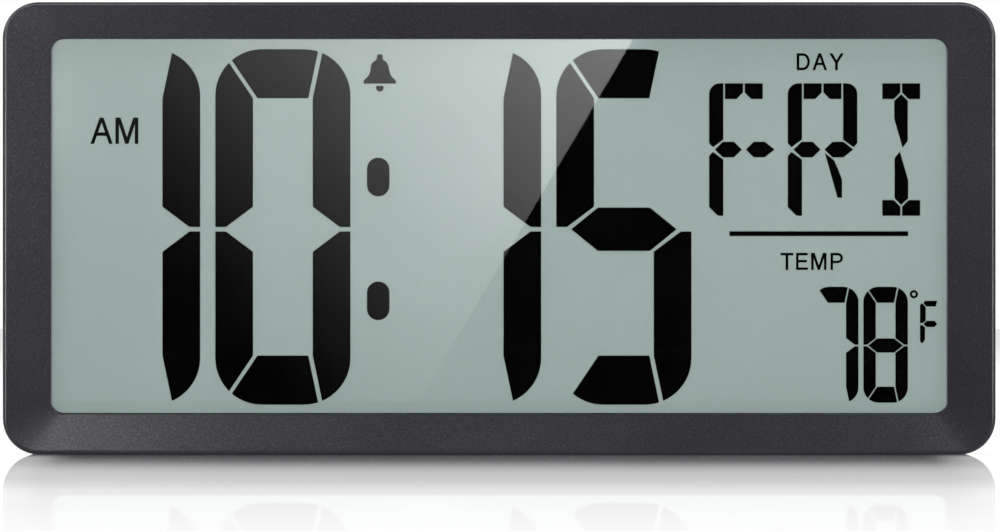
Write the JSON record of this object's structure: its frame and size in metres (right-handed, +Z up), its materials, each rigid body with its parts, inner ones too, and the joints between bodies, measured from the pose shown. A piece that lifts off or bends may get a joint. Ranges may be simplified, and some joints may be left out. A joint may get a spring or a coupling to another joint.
{
  "type": "digital wall clock",
  "caption": "Wide digital wall clock with a large segment display behind a sloping charcoal bezel, keyhole hangers, fold-out legs and rear push buttons.",
  "frame": {"origin": "middle of the case's depth and width, on the lower edge that the clock stands on", "axes": "+Z up, +X along the width, +Y from the display to the back, so the display faces -Y"},
  "size_m": [0.36, 0.028, 0.164],
  "materials": {
    "charcoal_abs": "moulded ABS with a fine spark-eroded texture",
    "black_abs": "moulded black ABS, fine texture",
    "button_abs": "moulded ABS, satin",
    "clear_acrylic": "clear cast sheet, polished",
    "lcd_glass": "polished float glass",
    "lcd_ground": "grey-green display ground",
    "reflector_film": "metallised film, satin",
    "lcd_black": "switched liquid crystal, black",
    "lcd_seal": "cured epoxy seal",
    "foam": "black closed-cell foam",
    "adhesive_tape": "black double-sided tape",
    "holder_abs": "moulded white ABS",
    "elastomer": "layered conductive silicone",
    "board_laminate": "glass-epoxy laminate with green solder mask",
    "black_epoxy": "cured black epoxy",
    "crystal_can": "tinned can",
    "capacitor_sleeve": "sleeved can",
    "switch_body": "moulded nylon",
    "switch_plunger": "moulded nylon",
    "brass_disc": "rolled brass",
    "ceramic": "silvered ceramic",
    "red_wire": "PVC insulation",
    "black_wire": "PVC insulation",
    "cell_wrap": "plain printed wrap over a steel can",
    "plated_spring": "nickel-plated spring steel",
    "screw_steel": "zinc-plated steel"
  },
  "bodies": {
    "case": {"front_bezel": "charcoal_abs", "rear_cover": "black_abs", "display_window": "clear_acrylic", "lcd_front_glass": "lcd_glass", "lcd_rear_glass": "lcd_ground", "lcd_reflector": "reflector_film", "lcd_time_digits": "lcd_black", "lcd_day_letters": "lcd_black", "lcd_temperature_digits": "lcd_black", "lcd_icons": "lcd_black", "lcd_edge_seal": "lcd_seal", "lcd_gasket": "foam", "window_tape": "adhesive_tape", "lcd_holder": "holder_abs", "zebra_strip": "elastomer", "circuit_board": "board_laminate", "controller_chip": "black_epoxy", "thermistor": "black_epoxy", "quartz_crystal": "crystal_can", "capacitors": "capacitor_sleeve", "tact_switch_bodies": "switch_body", "buzzer_disc": "brass_disc", "buzzer_element": "ceramic", "battery_lead_red": "red_wire", "buzzer_lead_red": "red_wire", "battery_lead_black": "black_wire", "buzzer_lead_black": "black_wire", "battery_cell_1": "cell_wrap", "battery_cell_2": "cell_wrap", "battery_cell_3": "cell_wrap", "battery_cell_4": "cell_wrap", "contact_negative": "plated_spring", "contact_positive": "plated_spring", "contact_bridges": "plated_spring", "cover_screws": "screw_steel", "holder_screws": "screw_steel", "board_screws": "screw_steel"},
    "alarm_key": {"alarm_button": "button_abs", "alarm_switch_plunger": "switch_plunger"},
    "down_key": {"down_button": "button_abs", "down_switch_plunger": "switch_plunger"},
    "up_key": {"up_button": "button_abs", "up_switch_plunger": "switch_plunger"},
    "set_key": {"set_button": "button_abs", "set_switch_plunger": "switch_plunger"},
    "mode_key": {"mode_button": "button_abs", "mode_switch_plunger": "switch_plunger"},
    "door": {"battery_door": "black_abs"},
    "left_leg": {"leg_left": "black_abs"},
    "right_leg": {"leg_right": "black_abs"}
  },
  "joints": [
    {"name": "alarm_press", "type": "slide", "parent": "case", "child": "alarm_key", "axis": [0, -1, 0], "range_m": [0, 0.0005], "stiffness_N_per_m": 400},
    {"name": "down_press", "type": "slide", "parent": "case", "child": "down_key", "axis": [0, -1, 0], "range_m": [0, 0.0005], "stiffness_N_per_m": 400},
    {"name": "up_press", "type": "slide", "parent": "case", "child": "up_key", "axis": [0, -1, 0], "range_m": [0, 0.0005], "stiffness_N_per_m": 400},
    {"name": "set_press", "type": "slide", "parent": "case", "child": "set_key", "axis": [0, -1, 0], "range_m": [0, 0.0005], "stiffness_N_per_m": 400},
    {"name": "mode_press", "type": "slide", "parent": "case", "child": "mode_key", "axis": [0, -1, 0], "range_m": [0, 0.0005], "stiffness_N_per_m": 400},
    {"name": "left_leg_fold", "type": "hinge", "parent": "case", "child": "left_leg", "pos_m": [-0.12, 0.0112, 0.009], "axis": [-1, 0, 0], "range_deg": [0, 90]},
    {"name": "right_leg_fold", "type": "hinge", "parent": "case", "child": "right_leg", "pos_m": [0.12, 0.0112, 0.009], "axis": [-1, 0, 0], "range_deg": [0, 90]},
    {"name": "door_swing", "type": "hinge", "parent": "case", "child": "door", "pos_m": [0, 0.0126, 0.0899], "axis": [1, 0, 0], "range_deg": [0, 95]}
  ]
}
